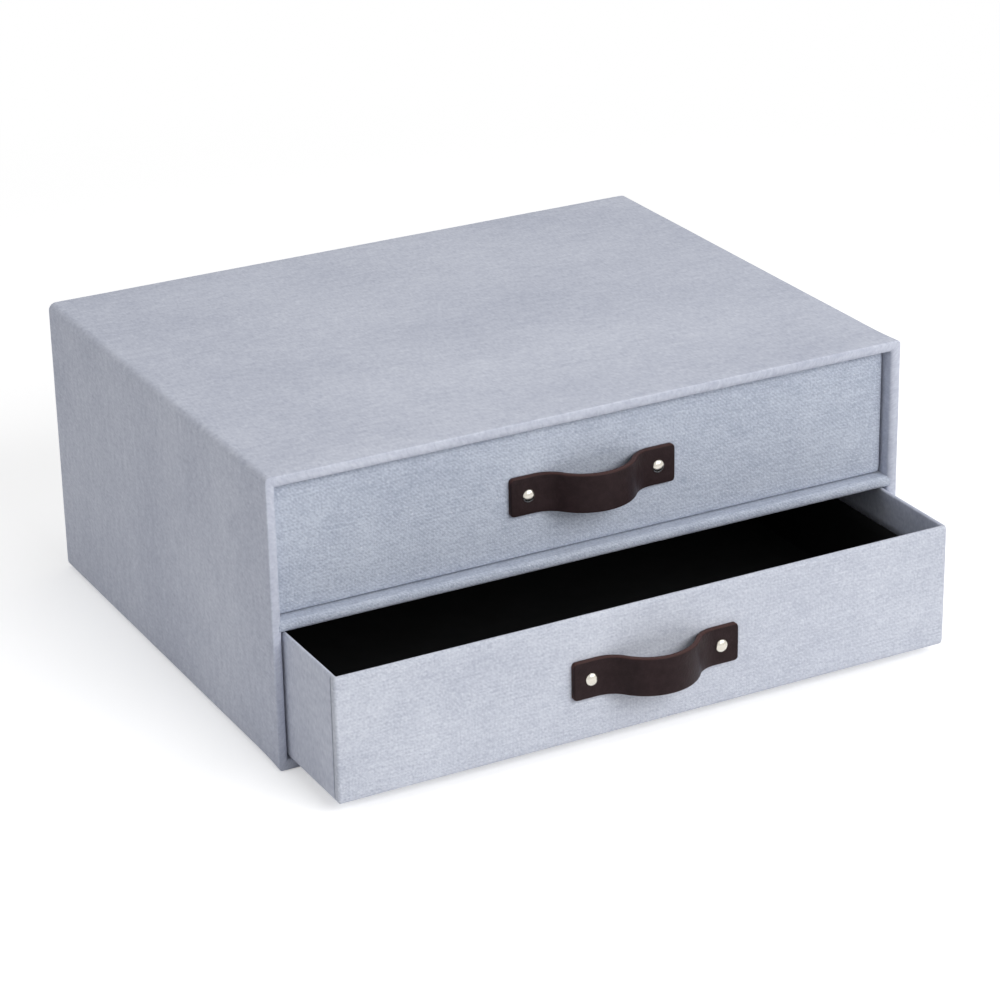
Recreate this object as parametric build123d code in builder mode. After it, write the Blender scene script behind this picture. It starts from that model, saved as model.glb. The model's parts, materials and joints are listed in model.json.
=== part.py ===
from build123d import *
from math import atan, degrees
import os

# A desk-top chest of two drawers: greyboard wrapped in linen cloth, with riveted leather strap pulls.
# The origin is on the floor at the middle of the casing, +X right as seen from the front, +Y to the
# back and +Z up. Sizes are in millimetres. The upper drawer is shut, the lower drawer stands open.

# Casing
casing_width = 335.0
casing_depth = 262.0
casing_height = 145.0
casing_board = 4.0
back_board_thickness = 3.0
shelf_board_thickness = 4.0
shelf_setback = 0.3
folded_edge_radius = 4.0
front_edge_radius = 1.8
back_edge_bevel = 0.9
board_edge_bevel = 0.8
shelf_edge_radius = 2.0

# Covering
cloth = 0.4
lining_paper = 0.3
turn_in = 19.0
back_flap = 14.0
sheet_margin = 5.0

# Drawers
drawer_board = 1.5
drawer_base_board = 1.8
drawer_corner_radius = 1.3
drawer_rim_radius = 0.9
drawer_under_bevel = 0.8
drawer_board_bevel = 0.45
drawer_side_gap = 0.9
drawer_under_gap = 0.8
lower_drawer_head_gap = 1.4
upper_drawer_head_gap = 2.6
drawer_back_gap = 0.5
drawer_recess = 6.5
lower_drawer_pull = 57.5
corner_wrap = 3.4
seam_gap = 0.4

# Strap pulls
strap_length = 87.5
strap_width = 19.0
strap_thickness = 2.6
strap_rise = 14.8
strap_span = 62.0
strap_foot_radius = 16.5
strap_corner_radius = 2.0

# Rivets
rivet_spacing = 69.0
rivet_shank_diameter = 3.0
rivet_hole_clearance = 0.1
rivet_head_diameter = 6.6
rivet_head_height = 1.8
rivet_cap_diameter = 7.0
rivet_cap_height = 1.2

# Places along Y: the boards end inside the cloth, and the back sheet lies over the turned cloth
front = -casing_depth / 2
back = casing_depth / 2
wrap_back = back - cloth
boards_front = front + cloth
boards_back = wrap_back - cloth
bay_back = boards_back - back_board_thickness

# Places along X and Z: the base sheet lies under the wrap
wrap_bottom = cloth
casing_wall = cloth + casing_board
bay_half_width = casing_width / 2 - casing_wall
bay_floor = wrap_bottom + casing_wall
bay_ceiling = casing_height - casing_wall
bay_height = bay_ceiling - bay_floor
wrap_height = casing_height - wrap_bottom
wrap_middle = (casing_height + wrap_bottom) / 2

# The two drawers share what the shelf and the gaps leave of the height between the turned-in cloths
shelf_thickness = shelf_board_thickness + 2 * cloth
drawer_gaps = 2 * drawer_under_gap + lower_drawer_head_gap + upper_drawer_head_gap
drawer_height = (bay_height - 2 * cloth - shelf_thickness - drawer_gaps) / 2
lower_underside = bay_floor + cloth + drawer_under_gap
shelf_underside = lower_underside + drawer_height + lower_drawer_head_gap
shelf_board_bottom = shelf_underside + cloth
shelf_board_top = shelf_board_bottom + shelf_board_thickness
shelf_top = shelf_board_top + cloth
upper_underside = shelf_top + drawer_under_gap

# Drawer sizes along X and Y
drawer_width = 2 * (bay_half_width - cloth - drawer_side_gap)
shut_front = front + drawer_recess
drawer_depth = bay_back - lining_paper - drawer_back_gap - shut_front
tray_inner_width = drawer_width - 2 * (cloth + drawer_board)
tray_inner_depth = drawer_depth - 2 * (cloth + drawer_board)

# The strap's crown is an arc that meets the two foot arcs at their ends
strap_half_span = strap_span / 2
strap_slope = degrees(2 * atan(strap_rise / strap_half_span))
strap_arc_sum = (strap_rise**2 + strap_half_span**2) / (2 * strap_rise)
strap_crown_radius = strap_arc_sum - strap_foot_radius

rivet_shank_radius = rivet_shank_diameter / 2
rivet_hole_radius = rivet_shank_radius + rivet_hole_clearance
rivet_grip = strap_thickness + cloth + drawer_board + lining_paper
rivet_places = (-rivet_spacing / 2, rivet_spacing / 2)


def save(piece, name):
    piece.part.label = name
    export_step(piece.part, f"parts/{name}.step")


# The four walls of the casing as one folded sleeve, cut at the mitres into boards below
with BuildPart() as sleeve:
    with BuildSketch(Plane.XZ.offset(-boards_back)):
        with Locations((0, wrap_middle)):
            RectangleRounded(
                casing_width - 2 * cloth, wrap_height - 2 * cloth, folded_edge_radius - cloth
            )
            Rectangle(2 * bay_half_width, bay_height, mode=Mode.SUBTRACT)
    extrude(amount=boards_back - boards_front)
    chamfer(faces().sort_by(Axis.Y)[0].edges(), board_edge_bevel)
    chamfer(faces().sort_by(Axis.Y)[-1].outer_wire().edges(), board_edge_bevel)


def build_wall_board(name, inner_ends, outer_ends):
    with BuildPart() as wall_board:
        add(sleeve.part)
        with BuildSketch(Plane.XZ.offset(-boards_back)):
            Polygon(*inner_ends, *reversed(outer_ends), align=None)
        extrude(amount=boards_back - boards_front, mode=Mode.INTERSECT)
    save(wall_board, name)


def build_back_board():
    with BuildPart() as back_board:
        with BuildSketch(Plane.XZ.offset(-boards_back)):
            with Locations((0, wrap_middle)):
                Rectangle(2 * bay_half_width, bay_height)
        extrude(amount=back_board_thickness)
    save(back_board, "casing_back_board")


def build_casing_wrap():
    with BuildPart() as casing_wrap:
        with BuildSketch(Plane.XZ.offset(-wrap_back)):
            with Locations((0, wrap_middle)):
                RectangleRounded(casing_width, wrap_height, folded_edge_radius)
        extrude(amount=wrap_back - front)
        # The bay is narrower where the cloth is turned in
        with BuildSketch(Plane.XZ.offset(-front)):
            with Locations((0, wrap_middle)):
                Rectangle(2 * (bay_half_width - cloth), bay_height - 2 * cloth)
        extrude(amount=-turn_in, mode=Mode.SUBTRACT)
        with BuildSketch(Plane.XZ.offset(-front - turn_in)):
            with Locations((0, wrap_middle)):
                Rectangle(2 * bay_half_width, bay_height)
        extrude(amount=-(boards_back - front - turn_in), mode=Mode.SUBTRACT)
        # The cloth turned over the back leaves the middle of the back board bare
        with BuildSketch(Plane.XZ.offset(-wrap_back)):
            with Locations((0, wrap_middle)):
                Rectangle(casing_width - 2 * back_flap, wrap_height - 2 * back_flap)
        extrude(amount=cloth, mode=Mode.SUBTRACT)
        fillet(faces().sort_by(Axis.Y)[0].edges(), front_edge_radius)
        chamfer(faces().sort_by(Axis.Y)[-1].outer_wire().edges(), back_edge_bevel)
        add(sleeve.part, mode=Mode.SUBTRACT)
    save(casing_wrap, "casing_linen")


def build_back_sheet():
    with BuildPart() as back_sheet:
        with BuildSketch(Plane.XZ.offset(-back)):
            with Locations((0, wrap_middle)):
                Rectangle(casing_width - 2 * sheet_margin, wrap_height - 2 * sheet_margin)
        extrude(amount=cloth)
        # Inside the turned cloth the sheet lies on the back board
        with BuildSketch(Plane.XZ.offset(-wrap_back)):
            with Locations((0, wrap_middle)):
                Rectangle(casing_width - 2 * back_flap, wrap_height - 2 * back_flap)
        extrude(amount=cloth)
    save(back_sheet, "casing_back_sheet")


def build_base_sheet():
    with BuildPart() as base_sheet:
        with BuildSketch(Plane.XY):
            Rectangle(casing_width - 2 * sheet_margin, casing_depth - 2 * sheet_margin)
        extrude(amount=cloth)
    save(base_sheet, "casing_base_sheet")


def build_shelf():
    shelf_half_width = bay_half_width - cloth
    shelf_front = front + shelf_setback
    shelf_turn_in = turn_in - shelf_setback
    board_depth = bay_back - shelf_front - cloth
    with BuildPart() as shelf_board:
        with BuildSketch(Plane.XY.offset(shelf_board_bottom)):
            with Locations((0, bay_back - board_depth / 2)):
                Rectangle(2 * shelf_half_width, board_depth)
        extrude(amount=shelf_board_thickness)
        fillet(edges().filter_by(Axis.X).group_by(Axis.Y)[0], shelf_edge_radius - cloth)
    save(shelf_board, "shelf_board")

    with BuildPart() as shelf_wrap:
        with BuildSketch(Plane.XY.offset(shelf_underside)):
            with Locations((0, shelf_front + shelf_turn_in / 2)):
                Rectangle(2 * shelf_half_width, shelf_turn_in)
        extrude(amount=shelf_top - shelf_underside)
        fillet(edges().filter_by(Axis.X).group_by(Axis.Y)[0], shelf_edge_radius)
        add(shelf_board.part, mode=Mode.SUBTRACT)
    save(shelf_wrap, "shelf_linen")


def build_bay_lining(name, floor, ceiling):
    lined_depth = bay_back - front - turn_in
    middle = (floor + ceiling) / 2
    with BuildPart() as bay_lining:
        with BuildSketch(Plane.XZ.offset(-bay_back)):
            with Locations((0, middle)):
                Rectangle(2 * bay_half_width, ceiling - floor)
        extrude(amount=lined_depth)
        with BuildSketch(Plane.XZ.offset(-bay_back + lining_paper)):
            with Locations((0, middle)):
                Rectangle(2 * (bay_half_width - lining_paper), ceiling - floor - 2 * lining_paper)
        extrude(amount=lined_depth - lining_paper, mode=Mode.SUBTRACT)
    save(bay_lining, name)


def build_tray(name, underside, front_face):
    """The boards, linen and lining of one drawer."""
    middle_y = front_face + drawer_depth / 2
    base_top = underside + cloth + drawer_base_board
    rim = underside + drawer_height
    strap_height = underside + drawer_height / 2
    inner_front = front_face + cloth + drawer_board
    inner_back = inner_front + tray_inner_depth

    with BuildPart() as rivet_bores:
        with BuildSketch(Plane.XZ.offset(-front_face)):
            with Locations(*((x, strap_height) for x in rivet_places)):
                Circle(rivet_hole_radius)
        extrude(amount=-rivet_grip)

    with BuildPart() as tray:
        with BuildSketch(Plane((0, middle_y, underside + cloth))):
            Rectangle(drawer_width - 2 * cloth, drawer_depth - 2 * cloth)
            chamfer(vertices(), drawer_board_bevel)
        extrude(amount=drawer_height - 2 * cloth)
        chamfer(faces().sort_by(Axis.Z)[0].edges(), drawer_board_bevel)
        with BuildSketch(Plane((0, middle_y, base_top))):
            Rectangle(tray_inner_width, tray_inner_depth)
        extrude(amount=drawer_height, mode=Mode.SUBTRACT)
        chamfer(faces().sort_by(Axis.Z)[-1].edges(), drawer_board_bevel)
        add(rivet_bores.part, mode=Mode.SUBTRACT)

    with BuildPart() as base_board:
        add(tray.part)
        split(bisect_by=Plane.XY.offset(base_top), keep=Keep.BOTTOM)
    save(base_board, f"{name}_base_board")

    with BuildPart() as tray_walls:
        add(tray.part)
        split(bisect_by=Plane.XY.offset(base_top), keep=Keep.TOP)

    with BuildPart() as front_board:
        add(tray_walls.part)
        split(bisect_by=Plane.XZ.offset(-inner_front), keep=Keep.TOP)
    save(front_board, f"{name}_front_board")

    with BuildPart() as back_board:
        add(tray_walls.part)
        split(bisect_by=Plane.XZ.offset(-inner_back), keep=Keep.BOTTOM)
    save(back_board, f"{name}_back_board")

    for side, half in (("left", Keep.BOTTOM), ("right", Keep.TOP)):
        with BuildPart() as side_board:
            add(tray_walls.part)
            split(bisect_by=Plane.XZ.offset(-inner_front), keep=Keep.BOTTOM)
            split(bisect_by=Plane.XZ.offset(-inner_back), keep=Keep.TOP)
            split(bisect_by=Plane.YZ, keep=half)
        save(side_board, f"{name}_{side}_board")

    with BuildPart() as linen:
        with BuildSketch(Plane((0, middle_y, underside))):
            RectangleRounded(drawer_width, drawer_depth, drawer_corner_radius)
        extrude(amount=drawer_height)
        chamfer(faces().sort_by(Axis.Z)[0].edges(), drawer_under_bevel)
        # The tray is narrower where the cloth is turned in over the rim
        with BuildSketch(Plane((0, middle_y, base_top))):
            Rectangle(tray_inner_width, tray_inner_depth)
        extrude(amount=rim - turn_in - base_top, mode=Mode.SUBTRACT)
        with BuildSketch(Plane((0, middle_y, rim - turn_in))):
            Rectangle(tray_inner_width - 2 * cloth, tray_inner_depth - 2 * cloth)
        extrude(amount=turn_in, mode=Mode.SUBTRACT)
        fillet(faces().sort_by(Axis.Z)[-1].edges(), drawer_rim_radius)
        add(tray.part, mode=Mode.SUBTRACT)
        add(rivet_bores.part, mode=Mode.SUBTRACT)

    # The front linen ends just round the corners, in a butt seam with the body linen
    with BuildPart() as front_linen:
        add(linen.part)
        split(bisect_by=Plane.XZ.offset(-front_face - corner_wrap), keep=Keep.TOP)
    save(front_linen, f"{name}_front_linen")

    with BuildPart() as body_linen:
        add(linen.part)
        split(bisect_by=Plane.XZ.offset(-front_face - corner_wrap - seam_gap), keep=Keep.BOTTOM)
    save(body_linen, f"{name}_body_linen")

    with BuildPart() as lining:
        with BuildSketch(Plane((0, middle_y, base_top))):
            Rectangle(tray_inner_width, tray_inner_depth)
        extrude(amount=rim - turn_in - base_top)
        with BuildSketch(Plane((0, middle_y, base_top + lining_paper))):
            Rectangle(tray_inner_width - 2 * lining_paper, tray_inner_depth - 2 * lining_paper)
        extrude(amount=drawer_height, mode=Mode.SUBTRACT)
        add(rivet_bores.part, mode=Mode.SUBTRACT)
    save(lining, f"{name}_lining")


def build_pull(name, underside, front_face):
    """The arched strap of one drawer, its rivets and their caps inside the tray."""
    strap_height = underside + drawer_height / 2
    strap_face = front_face - strap_thickness
    tray_face = front_face + cloth + drawer_board + lining_paper
    half_length = strap_length / 2

    # Drawn from above, with local Y pointing out of the drawer front
    profile_plane = Plane((0, front_face, strap_height - strap_width / 2), x_dir=(-1, 0, 0))
    with BuildPart() as strap:
        with BuildSketch(profile_plane):
            with BuildLine():
                near_end = Line((-half_length, 0), (-strap_half_span, 0))
                near_foot = JernArc(near_end @ 1, near_end % 1, strap_foot_radius, strap_slope)
                crown = JernArc(near_foot @ 1, near_foot % 1, strap_crown_radius, -2 * strap_slope)
                far_foot = JernArc(crown @ 1, crown % 1, strap_foot_radius, strap_slope)
                far_end = Line(far_foot @ 1, (half_length, 0))
                far_cut = Line(far_end @ 1, (half_length, strap_thickness))
                far_pad = Line(far_cut @ 1, (strap_half_span, strap_thickness))
                outer_foot_radius = strap_foot_radius - strap_thickness
                outer_crown_radius = strap_crown_radius + strap_thickness
                far_bend = JernArc(far_pad @ 1, far_pad % 1, outer_foot_radius, -strap_slope)
                arch = JernArc(far_bend @ 1, far_bend % 1, outer_crown_radius, 2 * strap_slope)
                near_bend = JernArc(arch @ 1, arch % 1, outer_foot_radius, -strap_slope)
                near_pad = Line(near_bend @ 1, (-half_length, strap_thickness))
                Line(near_pad @ 1, near_end @ 0)
            make_face()
        extrude(amount=strap_width)
        end_corners = edges().filter_by(Axis.Y).group_by(Axis.X)
        fillet(end_corners[0] + end_corners[-1], strap_corner_radius)
        with BuildSketch(Plane.XZ.offset(-strap_face)):
            with Locations(*((x, strap_height) for x in rivet_places)):
                Circle(rivet_hole_radius)
        extrude(amount=-strap_thickness, mode=Mode.SUBTRACT)
    save(strap, f"{name}_strap")

    head_radius = rivet_head_diameter / 2
    with BuildPart() as rivets:
        for x in rivet_places:
            # Local X is the radius and local Y points out of the drawer front
            with BuildSketch(Plane((x, strap_face, strap_height), x_dir=(0, 0, 1), z_dir=(1, 0, 0))):
                with BuildLine():
                    TangentArc((0, rivet_head_height), (head_radius, 0), tangent=(1, 0))
                    Polyline(
                        (head_radius, 0),
                        (rivet_shank_radius, 0),
                        (rivet_shank_radius, -rivet_grip),
                        (0, -rivet_grip),
                        (0, rivet_head_height),
                    )
                make_face()
            revolve(axis=Axis((x, strap_face, strap_height), (0, -1, 0)))
    save(rivets, f"{name}_rivets")

    with BuildPart() as rivet_caps:
        with BuildSketch(Plane.XZ.offset(-tray_face)):
            with Locations(*((x, strap_height) for x in rivet_places)):
                Circle(rivet_cap_diameter / 2)
        extrude(amount=-rivet_cap_height)
    save(rivet_caps, f"{name}_rivet_caps")


os.makedirs("parts", exist_ok=True)

# Corners of the casing walls, as left and right pairs on the inside and the outside of the boards
boards_half_width = bay_half_width + casing_board
boards_bottom = bay_floor - casing_board
boards_top = bay_ceiling + casing_board
floor_corners = [(-bay_half_width, bay_floor), (bay_half_width, bay_floor)]
ceiling_corners = [(-bay_half_width, bay_ceiling), (bay_half_width, bay_ceiling)]
bottom_corners = [(-boards_half_width, boards_bottom), (boards_half_width, boards_bottom)]
top_corners = [(-boards_half_width, boards_top), (boards_half_width, boards_top)]

build_wall_board("casing_top_board", ceiling_corners, top_corners)
build_wall_board("casing_bottom_board", floor_corners, bottom_corners)
for number, side in enumerate(("left", "right")):
    build_wall_board(
        f"casing_{side}_board",
        [floor_corners[number], ceiling_corners[number]],
        [bottom_corners[number], top_corners[number]],
    )
build_back_board()
build_casing_wrap()
build_back_sheet()
build_base_sheet()
build_shelf()
build_bay_lining("upper_bay_lining", shelf_board_top, bay_ceiling)
build_bay_lining("lower_bay_lining", bay_floor, shelf_board_bottom)

for drawer_name, drawer_underside, drawer_front in (
    ("upper_drawer", upper_underside, shut_front),
    ("lower_drawer", lower_underside, shut_front - lower_drawer_pull),
):
    build_tray(drawer_name, drawer_underside, drawer_front)
    build_pull(drawer_name, drawer_underside, drawer_front)
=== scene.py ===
import json
from math import atan, cos, pi, radians, sin

import bpy
import numpy as np
from mathutils import Matrix, Vector, noise


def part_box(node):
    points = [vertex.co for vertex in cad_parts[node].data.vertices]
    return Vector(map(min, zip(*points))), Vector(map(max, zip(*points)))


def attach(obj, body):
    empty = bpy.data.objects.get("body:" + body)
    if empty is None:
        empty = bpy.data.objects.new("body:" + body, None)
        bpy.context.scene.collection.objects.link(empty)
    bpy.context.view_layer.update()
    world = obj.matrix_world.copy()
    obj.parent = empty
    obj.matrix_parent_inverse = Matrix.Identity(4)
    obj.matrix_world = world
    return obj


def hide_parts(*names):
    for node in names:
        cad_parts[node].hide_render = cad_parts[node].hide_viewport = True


# The looks of a desk-top chest of two drawers: boards wrapped in blue-grey linen bookcloth, lined with
# black paper, with arched leather straps riveted on as pulls.
# Sizes are in millimetres, and turned to metres where a mesh is made.
MM = 0.001

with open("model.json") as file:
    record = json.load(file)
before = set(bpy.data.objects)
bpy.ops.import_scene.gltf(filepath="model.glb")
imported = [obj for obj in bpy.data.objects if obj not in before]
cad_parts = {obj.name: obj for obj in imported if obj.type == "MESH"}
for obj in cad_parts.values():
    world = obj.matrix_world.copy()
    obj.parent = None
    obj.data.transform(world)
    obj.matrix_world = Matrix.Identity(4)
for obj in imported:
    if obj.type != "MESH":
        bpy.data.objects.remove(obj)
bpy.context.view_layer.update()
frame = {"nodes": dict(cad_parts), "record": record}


def box_mm(node):
    low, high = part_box(node)
    return np.array(low) / MM, np.array(high) / MM


# Sizes that the frame gives
casing_low, casing_high = box_mm("casing_linen")
left_board_low, left_board_high = box_mm("casing_left_board")
bay_lining_low = box_mm("upper_bay_lining")[0]
cloth = left_board_low[0] - casing_low[0]
casing_wall = left_board_high[0] - casing_low[0] + cloth
turn_in = bay_lining_low[1] - casing_low[1]

# Folds of the cloth on the casing
FOLDED_EDGE_RADIUS = 3.9
PULLED_CORNER_RADIUS = 1.8
PULL_LENGTH = 20.0
FRONT_OUTER_RADIUS = 0.7
FRONT_INNER_FOLD = (3.0, 1.8)
LIP_SAG = 0.6
LIP_DEPTH = 3.0
BACK_EDGE_RADIUS = 0.9
BACK_FLAP = 14.0
SHELF_FOLD = (2.2, 2.6)
SHELF_SAG = 0.8
SHELF_COVE_RADIUS = 1.1
SHELF_END_TUCK = 1.2
TIGHT_RADIUS = 0.5

# How far the covers stray from flat, and the size of their lumps
CASING_LUMPS = (0.07, 22.0)
SHELF_LUMPS = (0.06, 14.0)
DRAWER_LUMPS = (0.05, 18.0)

# Folds of the cloth and paper on the drawers
DRAWER_CORNER_RADIUS = 1.4
DRAWER_RIM_RADIUS = 1.0
DRAWER_RIM_FOLD = (1.0, 2.5)
DRAWER_UNDER_FOLD = (0.95, 3.4)
SEAM_WIDTH = 0.9
SEAM_DEPTH = 0.32
SEAM_FADE = 0.35
SEAM_LEFT = 0.15
# How dark a seam is drawn: glue, and painted shade of its groove
SEAM_GLUE_AND_SHADE = 0.6
# Points near a cut edge of the cloth: how far past the cut they lie, and their share of the seam's depth
LAPPED_EDGE = ((1.6, 1), (0.0, 1), (-0.12, 0.7), (-0.26, 0.25), (-0.45, 0))
UPPER_EDGE = ((0.0, 0.35), (-0.12, 0.08), (-0.3, 0))
PAPER = 0.3
PAPER_FOLD_RADIUS = 0.9

# Strap pulls
STRAP_SPAN = 62.0
STRAP_RISE = 14.8
STRAP_FOOT_RADIUS = 16.5
STRAP_THICKNESS = 2.6
STRAP_CORNER_RADIUS = 2.0
STRAP_EDGE_RADIUS = 0.8
STRAP_CROWN = 0.15
RIVET_SPACING = 69.0
RIVET_DENT = 0.3
RIVET_DENT_WIDTH = 4.4

# Rivets
RIVET_HEAD_RADIUS = 3.3
RIVET_HEAD_HEIGHT = 1.8
RIVET_SHANK_RADIUS = 1.5
CAP_RADIUS = 3.5
CAP_HEIGHT = 1.2
CAP_EDGE_RADIUS = 0.5
AXIS_GAP = 0.02

# The map of each cloth piece that holds its threads' places, in millimetres, and the mark of its seams,
# darkened by glue and by painted shade of the groove
THREADS = "threads"
SEAM = "seam"


def arc(centre, radius, start, end, steps):
    """Part of a circle, or of an ellipse where the radius is a pair."""
    wide, high = np.broadcast_to(radius, 2)
    angles = np.radians(np.linspace(start, end, steps + 1))
    return np.stack([centre[0] + wide * np.cos(angles), centre[1] + high * np.sin(angles)], 1)


def run(start, end, steps):
    return np.linspace(np.array(start, float), np.array(end, float), steps + 1)


def join(*parts):
    """One line from several that follow on, without the doubled points between them."""
    return np.vstack([parts[0]] + [part[1:] for part in parts[1:]])


def lengths(points):
    """The distance along a line at each of its points."""
    steps = np.linalg.norm(np.diff(points, axis=0), axis=1)
    return np.concatenate([[0], np.cumsum(steps)])


def frame_ring(half_width, half_height, radius, steps):
    """A closed rounded rectangle, anticlockwise from the middle of its lower side."""
    x, y, r = half_width, half_height, radius
    across, up, corner = steps
    return join(
        run((0, -y), (x - r, -y), across // 2),
        arc((x - r, r - y), r, 270, 360, corner),
        run((x, r - y), (x, y - r), up),
        arc((x - r, y - r), r, 0, 90, corner),
        run((x - r, y), (r - x, y), across),
        arc((r - x, y - r), r, 90, 180, corner),
        run((-x, y - r), (-x, r - y), up),
        arc((r - x, r - y), r, 180, 270, corner),
        run((r - x, -y), (0, -y), across // 2),
    )


def tray_ring(half_width, depth, inset, steps, ends):
    """The plan of a tray's end: from the left cut, round the closed end at y = 0, to the right cut. The ends
    are extra points near each cut, as distances past it."""
    x = half_width - inset
    r = max(DRAWER_CORNER_RADIUS - inset, TIGHT_RADIUS)
    across, along, corner = steps
    last = depth + ends[-1]
    return join(
        np.array([(-x, depth + end) for end in ends]),
        run((-x, last), (-x, inset + r), along),
        arc((r - x, inset + r), r, 180, 270, corner),
        run((r - x, inset), (x - r, inset), across),
        arc((x - r, inset + r), r, 270, 360, corner),
        run((x, inset + r), (x, last), along),
        np.array([(x, depth + end) for end in reversed(ends)]),
    )


def normals_of(rows):
    """The outward direction at each point of a grid of rows."""
    across = np.gradient(rows, axis=1)
    along = np.gradient(rows, axis=0)
    out = np.cross(across, along)
    return out / np.maximum(np.linalg.norm(out, axis=2, keepdims=True), 1e-9)


def unevenness(points, size, seed):
    """Smooth noise from -1 to 1 at each point, with lumps of a given size."""
    flat = points.reshape(-1, 3) / size + seed
    return np.array([noise.noise(Vector(p)) for p in flat]).reshape(points.shape[:-1])


def settle(rows, lumps, seed):
    """Cloth and board are never quite flat: moves each point a little in or out."""
    amount, size = lumps
    return rows + normals_of(rows) * (amount * unevenness(rows, size, seed))[..., None]


def make_piece(name, rows, closed=False, uv=None, caps=()):
    """A mesh from a grid of points in rows. A closed grid's last column repeats its first. Each cap is a row
    index and whether its order is turned round."""
    count_rows, count = rows.shape[:2]
    columns = count - 1 if closed else count
    vertices = rows[:, :columns].reshape(-1, 3) * MM
    faces = []
    corners = []
    for i in range(count_rows - 1):
        for j in range(count - 1):
            quad = [(i, j), (i, j + 1), (i + 1, j + 1), (i + 1, j)]
            faces.append([a * columns + b % columns for a, b in quad])
            corners += quad
    for row, turned in caps:
        loop = [(row % count_rows, j) for j in range(columns)]
        loop = loop[::-1] if turned else loop
        faces.append([a * columns + b for a, b in loop])
        corners += [(-1, a * columns + b) for a, b in loop]
    mesh = bpy.data.meshes.new(name)
    mesh.from_pydata(vertices.tolist(), [], faces)
    if uv is not None:
        # A cap's threads run along X and Y, or along X and Z where it stands up
        upright = np.ptp(vertices[:, 1]) < np.ptp(vertices[:, 2])
        flat = vertices[:, [0, 2 if upright else 1]] / MM
        layer = mesh.uv_layers.new(name=THREADS)
        places = [flat[b] if a < 0 else uv[a, b] for a, b in corners]
        layer.uv.foreach_set("vector", np.array(places, np.float32).ravel())
    mesh.polygons.foreach_set("use_smooth", [True] * len(mesh.polygons))
    piece = bpy.data.objects.new(name, mesh)
    bpy.context.scene.collection.objects.link(piece)
    return piece


def thread_places(ring, profile):
    """Where each point of a lofted cover lies on the flat cloth."""
    across, along = np.meshgrid(lengths(ring), lengths(profile))
    return np.stack([across, along], 2)


def give_thickness(piece, thickness):
    wall = piece.modifiers.new("thickness", "SOLIDIFY")
    wall.thickness = thickness * MM
    wall.offset = -1


def finish_piece(piece, body, material, slot, *nodes):
    piece.data.materials.clear()
    piece.data.materials.append(material)
    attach(piece, body)
    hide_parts(*nodes)


# Materials


def colour(hex_code):
    """Linear RGBA from an sRGB hex code."""
    parts = [int(hex_code[i:i + 2], 16) / 255 for i in (1, 3, 5)]
    return [p / 12.92 if p <= 0.04045 else ((p + 0.055) / 1.055) ** 2.4 for p in parts] + [1]


def add_node(tree, kind, inputs=None, **settings):
    """Adds a node. Inputs are values, or the sockets that they come from."""
    node = tree.nodes.new(kind)
    for name, value in settings.items():
        setattr(node, name, value)
    for socket, value in (inputs or {}).items():
        if isinstance(value, bpy.types.NodeSocket):
            tree.links.new(value, node.inputs[socket])
        else:
            node.inputs[socket].default_value = value
    return node


def start_material(name):
    material = bpy.data.materials.new(name)
    material.use_nodes = True
    tree = material.node_tree
    return material, tree, tree.nodes["Principled BSDF"]


def places_in_mm(tree):
    """A piece's own coordinates, in millimetres."""
    place = add_node(tree, "ShaderNodeTexCoord").outputs["Object"]
    scaled = add_node(tree, "ShaderNodeMapping", {"Vector": place, "Scale": (1 / MM, 1 / MM, 1 / MM)})
    return scaled.outputs[0]


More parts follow.
